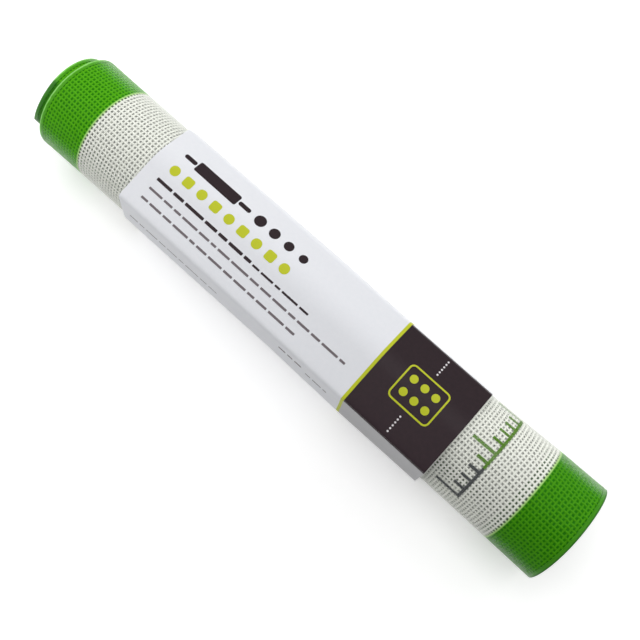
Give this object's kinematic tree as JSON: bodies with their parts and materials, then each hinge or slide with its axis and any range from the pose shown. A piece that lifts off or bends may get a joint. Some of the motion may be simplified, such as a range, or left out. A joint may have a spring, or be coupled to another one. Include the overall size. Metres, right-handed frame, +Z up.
{
  "type": "reusable baking liner",
  "caption": "Rolled woven glass-fibre and silicone baking sheet with a green border, held in a folded card sleeve that slides off along the roll.",
  "frame": {"origin": "middle of the part's box, on the surface that the sleeve's back panel lies on", "axes": "+X along the roll towards the dark printed end, -Y the near side, +Z up from the back panel to the front panel"},
  "size_m": [0.3034, 0.052, 0.0519],
  "materials": {
    "white_glass_yarn": "satin, coated plain weave",
    "clear_silicone": "satin, translucent",
    "green_silicone": "satin, translucent green",
    "card": "smooth, lightly coated",
    "glue": "dry film",
    "dark_ink": "printed, light sheen",
    "lime_ink": "printed, light sheen"
  },
  "bodies": {
    "rolled_liner": {"glass_fibre_mesh": "white_glass_yarn", "outer_silicone_coat": "clear_silicone", "inner_silicone_coat": "clear_silicone", "outer_green_border": "green_silicone", "inner_green_border": "green_silicone", "green_edge_seal": "green_silicone"},
    "sleeve": {"card_sleeve": "card", "sleeve_glue_seam": "glue", "dark_print_panel": "dark_ink", "lime_print_stripe": "lime_ink"}
  },
  "joints": [
    {"name": "sleeve_slide", "type": "slide", "parent": "rolled_liner", "child": "sleeve", "axis": [1, 0, 0], "range_m": [-0.243, 0.245]}
  ]
}
